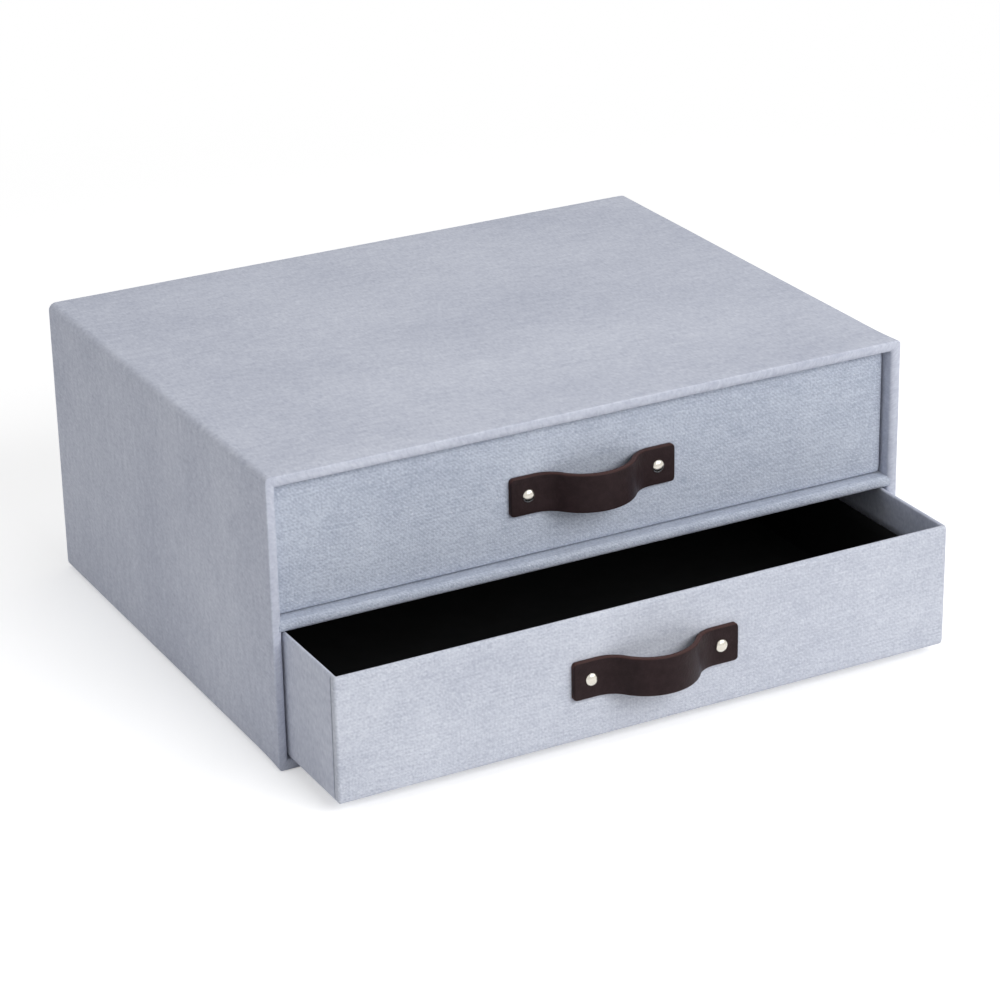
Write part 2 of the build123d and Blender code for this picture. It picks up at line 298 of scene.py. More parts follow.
def linen_bookcloth(name, pale, deep, contrast, rib_share, thread, streak):
    """Linen bookcloth, woven from heathered yarn and glued to board. It is matt and flecked: thick and thin
    stretches in the threads, long streaks of one yarn, a faint broken diagonal, and clouds where the glue
    took up unevenly. The threads are given by the widths of warp and weft, and a streak by its length and
    width."""
    fibre_white, seam_glue_and_shade = "#F2F3F6", "#6A6F7E"
    # The threads are under half a millimetre wide. Their crossings are drawn at that size, and their slubs
    # coarser, to show at all
    pitch = 0.9
    warp_width, weft_width = thread
    weft_slub, warp_slub = 2.6, 2.8
    speck = 1.3
    streak_length, streak_width = streak
    fibre_size = 0.9
    mottle_size = 14.0
    cloud_length, cloud_width, cloud_share = 95.0, 60.0, 0.65 / contrast
    rib_across, rib_along = 2.05, 1.92
    drift_size, drift = 9.0, 0.6
    break_size, break_turns = 2.8, 1.1
    crossing_share = 0.16
    fleck_low, fleck_high, fleck_share = 0.66, 0.8, 0.35 * contrast
    weave_depth = 0.12
    material, tree, shader = start_material(name)
    flat = add_node(tree, "ShaderNodeUVMap", uv_map=THREADS).outputs["UV"]

    # The threads wander a little from straight
    sway = add_node(tree, "ShaderNodeTexNoise", {"Vector": flat, "Scale": 1 / drift_size, "Detail": 1.0})
    push = add_node(tree, "ShaderNodeVectorMath", {0: sway.outputs["Color"], 1: (drift, drift, 0)},
                    operation="MULTIPLY")
    swayed = add_node(tree, "ShaderNodeVectorMath", {0: flat, 1: push.outputs[0]}, operation="ADD")

    # Each thread goes over and under those that cross it
    turn = add_node(tree, "ShaderNodeVectorMath",
                    {0: swayed.outputs[0], 1: (2 * pi / pitch, 2 * pi / pitch, 0)}, operation="MULTIPLY")
    pair = add_node(tree, "ShaderNodeSeparateXYZ", {0: turn.outputs[0]})
    over = add_node(tree, "ShaderNodeMath", {0: pair.outputs["X"]}, operation="SINE")
    under = add_node(tree, "ShaderNodeMath", {0: pair.outputs["Y"]}, operation="SINE")
    knuckle = add_node(tree, "ShaderNodeMath", {0: over.outputs[0], 1: under.outputs[0]},
                       operation="MULTIPLY")

    # The diagonal of the weave, broken where the threads shift against each other
    slip = add_node(tree, "ShaderNodeTexNoise", {"Vector": flat, "Scale": 1 / break_size, "Detail": 1.0})
    turns = add_node(tree, "ShaderNodeMath", {0: slip.outputs["Fac"], 1: 2 * pi * break_turns},
                     operation="MULTIPLY")
    rise = add_node(tree, "ShaderNodeVectorMath",
                    {0: swayed.outputs[0], 1: (2 * pi / rib_across, 2 * pi / rib_along, 0)},
                    operation="DOT_PRODUCT")
    phase = add_node(tree, "ShaderNodeMath", {0: rise.outputs["Value"], 1: turns.outputs[0]}, operation="ADD")
    rib = add_node(tree, "ShaderNodeMath", {0: phase.outputs[0]}, operation="SINE")
    crossed = add_node(tree, "ShaderNodeMath", {0: knuckle.outputs[0], 1: crossing_share},
                       operation="MULTIPLY")
    tone = add_node(tree, "ShaderNodeMath", {0: rib.outputs[0], 1: rib_share, 2: crossed.outputs[0]},
                    operation="MULTIPLY_ADD").outputs[0]

    # Each pattern has its size along weft and warp, its place, and its share of the step between the yarns
    middle = 0.0
    for size_across, size_along, place, share in (
        (weft_slub, weft_width, 0.0, 0.55),
        (warp_width, warp_slub, 31.0, 0.45),
        (speck * warp_width, speck * weft_width, 57.0, 0.5),
        (streak_length, streak_width, 83.0, 0.4),
        (streak_width, streak_length, 5.0, 0.2),
        (mottle_size, mottle_size, 11.0, 0.2),
        (cloud_length, cloud_width, 43.0, cloud_share),
    ):
        spot = add_node(tree, "ShaderNodeMapping",
                        {"Vector": swayed.outputs[0], "Location": (place, place, 0),
                         "Scale": (1 / size_across, 1 / size_along, 1)})
        pattern = add_node(tree, "ShaderNodeTexNoise",
                           {"Vector": spot.outputs[0], "Scale": 1.0, "Detail": 1.0})
        level = add_node(tree, "ShaderNodeMath", {0: pattern.outputs["Fac"], 1: share, 2: tone},
                         operation="MULTIPLY_ADD")
        tone = level.outputs[0]
        middle += share / 2
    centred = add_node(tree, "ShaderNodeMath", {0: tone, 1: contrast, 2: 0.5 - middle * contrast},
                       operation="MULTIPLY_ADD", use_clamp=True)
    yarn = add_node(tree, "ShaderNodeMix", {"Factor": centred.outputs[0], "A": colour(deep),
                                            "B": colour(pale)}, data_type="RGBA")
    fibre = add_node(tree, "ShaderNodeTexNoise", {"Vector": flat, "Scale": 1 / fibre_size, "Detail": 1.0})
    fleck = add_node(tree, "ShaderNodeMapRange", {"Value": fibre.outputs["Fac"], "From Min": fleck_low,
                                                  "From Max": fleck_high, "To Max": fleck_share})
    flecked = add_node(tree, "ShaderNodeMix", {"Factor": fleck.outputs[0], "A": yarn.outputs["Result"],
                                               "B": colour(fibre_white)}, data_type="RGBA")
    bump = add_node(tree, "ShaderNodeBump",
                    {"Height": centred.outputs[0], "Strength": 0.5, "Distance": weave_depth * MM})
    # Along a seam the cloth darkens towards blue-grey: glue, and painted shade of the groove
    seam = add_node(tree, "ShaderNodeAttribute", attribute_name=SEAM)
    seamed = add_node(tree, "ShaderNodeMix", {"Factor": seam.outputs["Fac"], "A": flecked.outputs["Result"],
                                              "B": colour(seam_glue_and_shade)}, data_type="RGBA")
    tree.links.new(seamed.outputs["Result"], shader.inputs["Base Color"])
    tree.links.new(bump.outputs[0], shader.inputs["Normal"])
    shader.inputs["Roughness"].default_value = 0.9
    shader.inputs["Specular IOR Level"].default_value = 0.2
    shader.inputs["Sheen Weight"].default_value = 0.1
    return material


def strap_leather():
    """Vegetable-tanned strap leather, dyed nearly black-brown and waxed. The grain side is smooth with fine
    pores and creases, and the cut edges took less dye, so they show redder."""
    pore_size = 0.9
    crease_size = 5.0
    grain_depth = 0.3
    material, tree, shader = start_material("waxed_strap_leather")
    place = places_in_mm(tree)
    pores = add_node(tree, "ShaderNodeTexVoronoi", {"Vector": place, "Scale": 1 / pore_size})
    creases = add_node(tree, "ShaderNodeTexNoise", {"Vector": place, "Scale": 1 / crease_size,
                                                    "Detail": 5.0, "Roughness": 0.65})
    cut = add_node(tree, "ShaderNodeAttribute", attribute_name="cut_edge")
    face = add_node(tree, "ShaderNodeMix", {"Factor": creases.outputs["Fac"], "A": colour("#1B1213"),
                                            "B": colour("#36292B")}, data_type="RGBA")
    dyed = add_node(tree, "ShaderNodeMix", {"Factor": cut.outputs["Fac"], "A": face.outputs["Result"],
                                            "B": colour("#4C3532")}, data_type="RGBA")
    rough = add_node(tree, "ShaderNodeMapRange", {"Value": creases.outputs["Fac"], "To Min": 0.32,
                                                  "To Max": 0.52})
    height = add_node(tree, "ShaderNodeMath", {0: pores.outputs["Distance"], 1: 0.5,
                                               2: creases.outputs["Fac"]}, operation="MULTIPLY_ADD")
    bump = add_node(tree, "ShaderNodeBump", {"Height": height.outputs[0], "Strength": 0.6,
                                             "Distance": grain_depth * MM})
    tree.links.new(dyed.outputs["Result"], shader.inputs["Base Color"])
    tree.links.new(rough.outputs[0], shader.inputs["Roughness"])
    tree.links.new(bump.outputs[0], shader.inputs["Normal"])
    shader.inputs["Specular IOR Level"].default_value = 0.08
    return material


def nickel_plate():
    """Stamped steel with bright nickel plate: a warm mirror, dulled a little by handling."""
    scuff_size = 1.4
    material, tree, shader = start_material("nickel_plate")
    place = places_in_mm(tree)
    scuff = add_node(tree, "ShaderNodeTexNoise", {"Vector": place, "Scale": 1 / scuff_size,
                                                  "Detail": 6.0})
    rough = add_node(tree, "ShaderNodeMapRange", {"Value": scuff.outputs["Fac"], "To Min": 0.12,
                                                  "To Max": 0.32})
    tree.links.new(rough.outputs[0], shader.inputs["Roughness"])
    shader.inputs["Base Color"].default_value = colour("#D3CEC4")
    shader.inputs["Metallic"].default_value = 1.0
    return material


def black_paper():
    """Black lining paper, dyed through: matt, with a fine tooth and a few greyer fibres."""
    tooth_size = 0.6
    cloud_size = 14.0
    tooth_depth = 0.05
    material, tree, shader = start_material("black_lining_paper")
    place = places_in_mm(tree)
    tooth = add_node(tree, "ShaderNodeTexNoise", {"Vector": place, "Scale": 1 / tooth_size,
                                                  "Detail": 3.0})
    cloud = add_node(tree, "ShaderNodeTexNoise", {"Vector": place, "Scale": 1 / cloud_size,
                                                  "Detail": 3.0})
    blend = add_node(tree, "ShaderNodeMath", {0: tooth.outputs["Fac"], 1: cloud.outputs["Fac"]},
                     operation="MULTIPLY")
    dye = add_node(tree, "ShaderNodeMix", {"Factor": blend.outputs[0], "A": colour("#0B0B0C"),
                                           "B": colour("#2A2A2B")}, data_type="RGBA")
    bump = add_node(tree, "ShaderNodeBump", {"Height": tooth.outputs["Fac"], "Strength": 0.4,
                                             "Distance": tooth_depth * MM})
    tree.links.new(dye.outputs["Result"], shader.inputs["Base Color"])
    tree.links.new(bump.outputs[0], shader.inputs["Normal"])
    shader.inputs["Roughness"].default_value = 0.85
    shader.inputs["Specular IOR Level"].default_value = 0.2
    return material


def raw_greyboard():
    """Pressed greyboard from waste paper: grey-brown, with darker and paler flecks."""
    fleck_size = 1.6
    cloud_size = 20.0
    material, tree, shader = start_material("raw_greyboard")
    place = places_in_mm(tree)
    fleck = add_node(tree, "ShaderNodeTexNoise", {"Vector": place, "Scale": 1 / fleck_size,
                                                  "Detail": 4.0, "Roughness": 0.7})
    cloud = add_node(tree, "ShaderNodeTexNoise", {"Vector": place, "Scale": 1 / cloud_size,
                                                  "Detail": 2.0})
    mixed = add_node(tree, "ShaderNodeMath", {0: fleck.outputs["Fac"], 1: 0.7, 2: cloud.outputs["Fac"]},
                     operation="MULTIPLY_ADD")
    pulp = add_node(tree, "ShaderNodeMix", {"Factor": mixed.outputs[0], "A": colour("#5E5851"),
                                            "B": colour("#A79F94")}, data_type="RGBA")
    tree.links.new(pulp.outputs["Result"], shader.inputs["Base Color"])
    shader.inputs["Roughness"].default_value = 0.95
    return material


# Covers of the casing


def casing_cover():
    """The linen wrap of the four walls, from its flap on the back to its turned-in edge in the bays."""
    front, back = casing_low[1], casing_high[1]
    half_width = (casing_high[0] - casing_low[0]) / 2
    half_height = (casing_high[2] - casing_low[2]) / 2
    middle = (casing_high[2] + casing_low[2]) / 2
    r = FRONT_OUTER_RADIUS
    fold, hook = FRONT_INNER_FOLD
    b = BACK_EDGE_RADIUS
    profile = join(
        run((BACK_FLAP, back), (b, back), 4),
        arc((b, back - b), b, 90, 180, 5),
        run((0, back - b), (0, front + r), 32),
        arc((r, front + r), r, 180, 270, 8),
        run((r, front), (casing_wall - fold, front), 2),
        arc((casing_wall - fold, front + hook), FRONT_INNER_FOLD, 270, 360, 10),
        run((casing_wall, front + hook), (casing_wall, front + turn_in), 6),
    )
    steps = (48, 22, 12)
    rows = []
    for inset, y in profile:
        # The cloth is pulled tight over the corners at the front
        ease = min((y - front) / PULL_LENGTH, 1) ** 0.5
        folded = PULLED_CORNER_RADIUS + (FOLDED_EDGE_RADIUS - PULLED_CORNER_RADIUS) * ease
        radius = max(folded - inset, TIGHT_RADIUS)
        ring = frame_ring(half_width - inset, half_height - inset, radius, steps)
        rows.append([(x, y, z + middle) for x, z in ring])
    rows = np.array(rows)
    # Under the top the turned-in cloth hangs a little below the board
    hem = (profile[:, 0] / casing_wall) ** 2 * (profile[:, 1] < back - b)
    ceiling = casing_high[2] - profile[:, 0]
    near_top = np.clip((rows[..., 2] - ceiling[:, None]) / LIP_DEPTH + 1, 0, 1)
    rows[..., 2] -= LIP_SAG * hem[:, None] * near_top
    rows = settle(rows, CASING_LUMPS, 3.7)
    rows[:, -1] = rows[:, 0]
    outer_ring = frame_ring(half_width, half_height, FOLDED_EDGE_RADIUS, steps)
    piece = make_piece("casing_cloth", rows, closed=True, uv=thread_places(outer_ring, profile))
    give_thickness(piece, cloth)
    return piece


def shelf_cover():
    """The linen on the shelf's front edge, with its ends coved on to the side walls."""
    low, high = box_mm("shelf_linen")
    deep, tall = SHELF_FOLD
    under = low[2] - SHELF_SAG
    profile = join(
        run((high[1], under), (low[1] + deep, under), 6),
        arc((low[1] + deep, under + tall), SHELF_FOLD, 270, 180, 10),
        run((low[1], under + tall), (low[1], high[2] - tall), 1),
        arc((low[1] + deep, high[2] - tall), SHELF_FOLD, 180, 90, 10),
        run((low[1] + deep, high[2]), (high[1], high[2]), 6),
    )
    left, right = low[0] - SHELF_END_TUCK, high[0] + SHELF_END_TUCK
    end_length = 6.0
    cove = SHELF_COVE_RADIUS * np.array([0.0, 0.05, 0.16, 0.31, 0.53, 1.0])
    straight = np.linspace(left + end_length, right - end_length, 60)
    across = np.concatenate([left + cove, straight, right - cove[::-1]])
    rows = np.array([[(x, y, z) for x in across] for y, z in profile])
    # The cloth climbs a little way up and down the walls, and its front stays flush with theirs
    from_wall = np.clip(SHELF_COVE_RADIUS - np.minimum(across - left, right - across), 0, None)
    swell = SHELF_COVE_RADIUS - np.sqrt(SHELF_COVE_RADIUS**2 - from_wall**2)
    rows[..., 2] += normals_of(rows)[..., 2] * swell[None, :]
    rows[..., 1] -= (low[1] - casing_low[1]) * (from_wall / SHELF_COVE_RADIUS)[None, :]
    rows = settle(rows, SHELF_LUMPS, 9.1)
    line = np.stack([across, np.zeros_like(across)], 1)
    piece = make_piece("shelf_cloth", rows, uv=thread_places(line, profile))
    give_thickness(piece, cloth)
    return piece


def back_cover():
    """The linen sheet glued over the back."""
    low, high = box_mm("casing_back_sheet")
    half_width = (high[0] - low[0]) / 2
    half_height = (high[2] - low[2]) / 2
    middle = (high[2] + low[2]) / 2
    soft_edge = 0.25
    under = casing_high[1]
    steps = (48, 22, 4)
    profile = join(
        run((0, under), (0, high[1] - soft_edge), 1),
        arc((soft_edge, high[1] - soft_edge), soft_edge, 180, 90, 3),
    )
    rows = []
    for inset, y in profile:
        ring = frame_ring(half_width - inset, half_height - inset, TIGHT_RADIUS, steps)[::-1]
        rows.append([(x, y, z + middle) for x, z in ring])
    rows = np.array(rows)
    ring = frame_ring(half_width, half_height, TIGHT_RADIUS, steps)
    return make_piece("back_cloth", rows, closed=True, uv=thread_places(ring, profile),
                      caps=((-1, False), (0, True)))


# Covers of the drawers


def tray_cover(name, closed_face, open_face, half_width, underside, rim, wall, steps, seed, lapped):
    """Linen round one end of a tray: from the underside up the wall, over the rim and down inside. A lapped
    piece dips at its cut ends and runs on under the other piece, so that the seam shows as a groove."""
    depth = abs(open_face - closed_face)
    ends, dips = zip(*(LAPPED_EDGE if lapped else UPPER_EDGE))
    way = 1 if open_face > closed_face else -1
    tuck, rise = DRAWER_UNDER_FOLD
    roll, fall = DRAWER_RIM_FOLD
    r = DRAWER_RIM_RADIUS
    profile = join(
        arc((tuck, underside + rise), DRAWER_UNDER_FOLD, 270, 180, 8),
        run((0, underside + rise), (0, rim - fall), 14),
        arc((roll, rim - fall), DRAWER_RIM_FOLD, 180, 90, 8),
        run((roll, rim), (wall - r, rim), 1),
        arc((wall - r, rim - r), r, 90, 0, 6),
        run((wall, rim - r), (wall, rim - turn_in), 5),
    )
    rows = []
    for inset, z in profile:
        ring = tray_ring(half_width, depth, inset, steps, ends) * way
        rows.append([(x, y + closed_face, z) for x, y in ring])
    rows = settle(np.array(rows), DRAWER_LUMPS, seed)
    drop = np.zeros(rows.shape[1])
    drop[:len(ends)] = dips
    drop[-len(ends):] = dips[::-1]
    # The seam is pressed flat over the rim and under the drawer
    seam_here = np.clip(1 - profile[:, 0] / SEAM_FADE, SEAM_LEFT, 1)[:, None] * drop[None, :]
    rows -= normals_of(rows) * (SEAM_DEPTH * seam_here)[..., None]
    ring = tray_ring(half_width, depth, 0, steps, ends)
    piece = make_piece(name, rows, uv=thread_places(ring, profile), caps=((0, True),))
    # The seam mark darkens the cloth there: glue, and painted shade of the groove
    mark = piece.data.attributes.new(SEAM, "FLOAT", "POINT")
    mark.data.foreach_set("value", SEAM_GLUE_AND_SHADE * seam_here.ravel().astype(np.float32))
    give_thickness(piece, cloth)
    return piece


def tray_lining(name, node):
    """The black paper that lines a tray below the turned-in cloth."""
    low, high = box_mm(node)
    half_width = (high[0] - low[0]) / 2
    half_depth = (high[1] - low[1]) / 2
    middle = (high[1] + low[1]) / 2
    floor = low[2] + PAPER
    r = PAPER_FOLD_RADIUS
    profile = join(
        run((PAPER, high[2]), (PAPER, floor + r), 6),
        arc((PAPER + r, floor + r), r, 180, 270, 5),
    )
    rows = []
    for inset, z in profile:
        ring = frame_ring(half_width - inset, half_depth - inset, r, (40, 30, 4))
        rows.append([(x, y + middle, z) for x, y in ring])
    piece = make_piece(name, np.array(rows), closed=True, caps=((-1, False),))
    give_thickness(piece, PAPER)
    return piece


# Strap pulls


def strap_path():
    """The back of the strap in plan: flat at both ends, with an arch between two foot arcs. X runs along the
    drawer front and Y points into the drawer."""
    strap_low, strap_high = box_mm("upper_drawer_strap")
    half_length = (strap_high[0] - strap_low[0]) / 2
    half_span = STRAP_SPAN / 2
    slope = 2 * np.degrees(atan(STRAP_RISE / half_span))
    crown_radius = (STRAP_RISE**2 + half_span**2) / (2 * STRAP_RISE) - STRAP_FOOT_RADIUS
    return join(
        run((-half_length, 0), (-half_span, 0), 12),
        arc((-half_span, -STRAP_FOOT_RADIUS), STRAP_FOOT_RADIUS, 90, 90 - slope, 24),
        arc((0, crown_radius - STRAP_RISE), crown_radius, 270 - slope, 270 + slope, 48),
        arc((half_span, -STRAP_FOOT_RADIUS), STRAP_FOOT_RADIUS, 90 + slope, 90, 24),
        run((half_span, 0), (half_length, 0), 12),
    )


def path_curve(points):
    curve = bpy.data.curves.new("strap_path", "CURVE")
    curve.dimensions = "3D"
    spline = curve.splines.new("POLY")
    spline.points.add(len(points) - 1)
    for place, (x, y) in zip(spline.points, points):
        place.co = (x * MM, y * MM, 0, 1)
    guide = bpy.data.objects.new("strap_path", curve)
    bpy.context.scene.collection.objects.link(guide)
    return guide


def flat_strap(length, width, rivet_places):
    """The strap before it is bent: X along it, Y out of its face and Z across it, from end to end."""
    t, e, c = STRAP_THICKNESS, STRAP_EDGE_RADIUS, STRAP_CORNER_RADIUS
    step = 0.8
    end_steps = np.array([0, 0.06, 0.2, 0.4, 0.6, 0.9, 1.2, 1.6, 2.0])
    end_length = end_steps[-1] + step
    along = np.concatenate([end_steps, np.arange(end_length, length - end_length, step),
                            length - end_steps[::-1]])
    rows = []
    edges = []
    for s in along:
        near = min(s, length - s)
        half = width / 2 - c + np.sqrt(max(c**2 - max(c - near, 0) ** 2, 0))
        face = t - e + np.sqrt(max(e**2 - max(e - near, 0) ** 2, 0))
        section = join(
            run((half - e, face), (e - half, face), 24),
            arc((e - half, face - e), e, 90, 180, 5),
            run((-half, face - e), (-half, 0), 4),
            run((-half, 0), (half, 0), 8),
            run((half, 0), (half, face - e), 4),
            arc((half - e, face - e), e, 0, 90, 5),
        )
        z, y = section.T
        on_face = np.clip((y - (face - e)) / e, 0, 1)
        dent = sum(np.exp(-((s - pad) ** 2 + z**2) / RIVET_DENT_WIDTH**2) for pad in rivet_places)
        pillow = STRAP_CROWN * (1 - np.clip(np.abs(z) / half, 0, 1) ** 4)
        y = y + on_face * (pillow - STRAP_CROWN - RIVET_DENT * dent)
        rows.append(np.stack([np.full_like(y, s), y, z], 1))
        edges.append(np.where(y > 0, 1 - on_face**2, 0))
    rows = np.array(rows)
    # Bending turns the strip over, so its faces point inward until then
    piece = make_piece("flat_strap", rows, closed=True, caps=((0, True), (-1, False)))
    edge = piece.data.attributes.new("cut_edge", "FLOAT", "POINT")
    edge.data.foreach_set("value", np.array(edges)[:, :-1].ravel().astype(np.float32))
    return piece


def start_tree(name, output, **inputs):
    """A node tree with its named inputs and one mesh as its output."""
    tree = bpy.data.node_groups.new(name, "GeometryNodeTree")
    for label, kind in inputs.items():
        tree.interface.new_socket(label, in_out="INPUT", socket_type=f"NodeSocket{kind}")
    tree.interface.new_socket(output, in_out="OUTPUT", socket_type="NodeSocketGeometry")
    return tree, add_node(tree, "NodeGroupInput").outputs


def bending_tree():
    """Lays a flat strip along a path: X goes along the path, Y out to its side and Z stays up."""
    tree, given = start_tree("bend_along_path", "Strap", Strip="Geometry", Path="Object", Place="Vector",
                             Finish="Material")
    guide = add_node(tree, "GeometryNodeObjectInfo", {"Object": given["Path"]})
    place = add_node(tree, "GeometryNodeInputPosition")
    flat = add_node(tree, "ShaderNodeSeparateXYZ", {0: place.outputs[0]})
    on_path = add_node(tree, "GeometryNodeSampleCurve",
                       {"Curves": guide.outputs["Geometry"], "Length": flat.outputs["X"]}, mode="LENGTH")
    side = add_node(tree, "ShaderNodeVectorMath", {0: on_path.outputs["Tangent"], 1: (0, 0, 1)},
                    operation="CROSS_PRODUCT")
    out = add_node(tree, "ShaderNodeVectorMath", {0: side.outputs[0], "Scale": flat.outputs["Y"]},
                   operation="SCALE")
    up = add_node(tree, "ShaderNodeCombineXYZ", {"Z": flat.outputs["Z"]})
    sideways = add_node(tree, "ShaderNodeVectorMath", {0: on_path.outputs["Position"], 1: out.outputs[0]},
                        operation="ADD")
    raised = add_node(tree, "ShaderNodeVectorMath", {0: sideways.outputs[0], 1: up.outputs[0]},
                      operation="ADD")
    placed = add_node(tree, "ShaderNodeVectorMath", {0: raised.outputs[0], 1: given["Place"]},
                      operation="ADD")
    bent = add_node(tree, "GeometryNodeSetPosition", {"Geometry": given["Strip"],
                                                      "Position": placed.outputs[0]})
    real = add_node(tree, "GeometryNodeRealizeInstances", {"Geometry": bent.outputs[0]})
    finished = add_node(tree, "GeometryNodeSetMaterial", {"Geometry": real.outputs[0],
                                                          "Material": given["Finish"]})
    add_node(tree, "NodeGroupOutput", {"Strap": finished.outputs[0]})
    return tree


def fastener_tree():
    """Sets the same turned piece at equal steps along a line."""
    tree, given = start_tree("fasteners_in_a_row", "Fasteners", Turned="Object", Count="Int", First="Vector",
                             Step="Vector", Finish="Material")
    places = add_node(tree, "GeometryNodeMeshLine",
                      {"Count": given["Count"], "Start Location": given["First"], "Offset": given["Step"]})
    turned = add_node(tree, "GeometryNodeObjectInfo", {"Object": given["Turned"]})
    row = add_node(tree, "GeometryNodeInstanceOnPoints",
                   {"Points": places.outputs[0], "Instance": turned.outputs["Geometry"]})
    real = add_node(tree, "GeometryNodeRealizeInstances", {"Geometry": row.outputs[0]})
    finished = add_node(tree, "GeometryNodeSetMaterial", {"Geometry": real.outputs[0],
                                                          "Material": given["Finish"]})
    add_node(tree, "NodeGroupOutput", {"Fasteners": finished.outputs[0]})
    return tree


def grow(name, tree, start, inputs):
    """Runs a node tree on a start mesh and keeps the result as a plain mesh."""
    seed = bpy.data.objects.new(f"{name}_start", start)
    bpy.context.scene.collection.objects.link(seed)
    modifier = seed.modifiers.new("grow", "NODES")
    modifier.node_group = tree
    for item in tree.interface.items_tree:
        if item.in_out == "INPUT" and item.name in inputs:
            modifier[item.identifier] = inputs[item.name]
    grown = seed.evaluated_get(bpy.context.evaluated_depsgraph_get())
    mesh = bpy.data.meshes.new_from_object(grown)
    seed.modifiers.remove(modifier)
    bpy.data.objects.remove(seed)
    piece = bpy.data.objects.new(name, mesh)
    bpy.context.scene.collection.objects.link(piece)
    return piece


def turned_piece(profile, steps=40):
    """A profile of radius and height, from the axis to the axis, turned about the Y axis."""
    angles = np.linspace(2 * pi, 0, steps + 1)
    rows = np.array([[(r * cos(a), y, r * sin(a)) for a in angles] for r, y in profile])
    return make_piece("turned", rows, closed=True, caps=((0, True), (-1, False)))


def rivet_profile(grip):
    """Domed head, then the shank through strap, cloth, board and paper. The head points along -Y."""
    h, a = RIVET_HEAD_HEIGHT, RIVET_HEAD_RADIUS
    dome = [(max(a * cos(t), AXIS_GAP), -h * sin(t)) for t in np.linspace(pi / 2, 0, 14)]
    return np.array(dome + [(RIVET_SHANK_RADIUS, 0), (RIVET_SHANK_RADIUS, grip), (AXIS_GAP, grip)])


def cap_profile():
    """A flat cap with a rolled edge, which points along +Y."""
    e = CAP_EDGE_RADIUS
    edge = arc((CAP_RADIUS - e, CAP_HEIGHT - e), e, 0, 90, 6)
    return np.vstack([[(AXIS_GAP, 0), (CAP_RADIUS, 0)], edge, [(AXIS_GAP, CAP_HEIGHT)]])


def fasteners(name, tree, profile, depth, height, finish):
    """A turned piece at each end of a strap, from a given depth along Y."""
    turned = turned_piece(profile)
    piece = grow(name, tree, bpy.data.meshes.new("no_start"), {
        "Turned": turned, "Count": 2, "First": (-RIVET_SPACING / 2 * MM, depth * MM, height * MM),
        "Step": (RIVET_SPACING * MM, 0, 0), "Finish": finish})
    bpy.data.objects.remove(turned)
    return piece


# Light, floor and camera


def seen_directly(tree):
    """1 where a thing is seen, also in a mirror or through glass, and 0 where it only sheds light."""
    path = add_node(tree, "ShaderNodeLightPath").outputs
    mirrored = add_node(tree, "ShaderNodeMath", {0: path["Is Glossy Ray"], 1: path["Is Transmission Ray"]},
                        operation="MAXIMUM")
    seen = add_node(tree, "ShaderNodeMath", {0: path["Is Camera Ray"], 1: mirrored.outputs[0]},
                    operation="MAXIMUM")
    return seen.outputs[0]


def white_floor():
    """A pale floor that keeps the shadow, and is lifted to white where it is seen directly."""
    material, tree, shader = start_material("studio_floor")
    lift = 0.42
    fade_start = 0.45
    fade_end = 0.9
    tree.nodes.remove(shader)
    seen = seen_directly(tree)
    place = add_node(tree, "ShaderNodeTexCoord").outputs["Object"]
    away = add_node(tree, "ShaderNodeVectorMath", {0: place}, operation="LENGTH")
    far = add_node(tree, "ShaderNodeMapRange", {"Value": away.outputs["Value"], "From Min": fade_start,
                                                "From Max": fade_end}, interpolation_type="SMOOTHSTEP")
    fade = add_node(tree, "ShaderNodeMath", {0: far.outputs[0], 1: seen}, operation="MULTIPLY")
    glow = add_node(tree, "ShaderNodeMath", {0: seen, 1: lift}, operation="MULTIPLY")
    paint = add_node(tree, "ShaderNodeBsdfDiffuse", {"Color": colour("#F8F8F8")})
    lit = add_node(tree, "ShaderNodeEmission", {"Strength": glow.outputs[0]})
    near = add_node(tree, "ShaderNodeAddShader", {0: paint.outputs[0], 1: lit.outputs[0]})
    white = add_node(tree, "ShaderNodeEmission", {"Strength": 1.0})
    both = add_node(tree, "ShaderNodeMixShader", {0: fade.outputs[0], 1: near.outputs[0],
                                                  2: white.outputs[0]})
    output = tree.nodes["Material Output"]
    tree.links.new(both.outputs[0], output.inputs["Surface"])
    return material


def floor_plane(size):
    half = size / 2
    corners = [(-half, -half, 0), (half, -half, 0), (half, half, 0), (-half, half, 0)]
    mesh = bpy.data.meshes.new("floor")
    mesh.from_pydata(corners, [], [(0, 1, 2, 3)])
    mesh.materials.append(white_floor())
    floor = bpy.data.objects.new("floor", mesh)
    bpy.context.scene.collection.objects.link(floor)


def white_room(strength):
    """Even light from all round, white where it is seen directly."""
    world = bpy.data.worlds.new("white_room")
    world.use_nodes = True
    tree = world.node_tree
    seen = seen_directly(tree)
    level = add_node(tree, "ShaderNodeMapRange", {"Value": seen, "To Min": strength, "To Max": 1.0})
    background = tree.nodes["Background"]
    background.inputs["Color"].default_value = (1, 1, 1, 1)
    tree.links.new(level.outputs[0], background.inputs["Strength"])
    bpy.context.scene.world = world


def softbox(name, place, target, width, height, power):
    """A softbox with its place, aim and size in metres, and its power in watts."""
    lamp = bpy.data.lights.new(name, "AREA")
    lamp.shape = "RECTANGLE"
    lamp.size = width
    lamp.size_y = height
    lamp.energy = power
    light = bpy.data.objects.new(name, lamp)
    light.location = place
    light.rotation_euler = (Vector(target) - Vector(place)).to_track_quat("-Z", "Y").to_euler()
    bpy.context.scene.collection.objects.link(light)


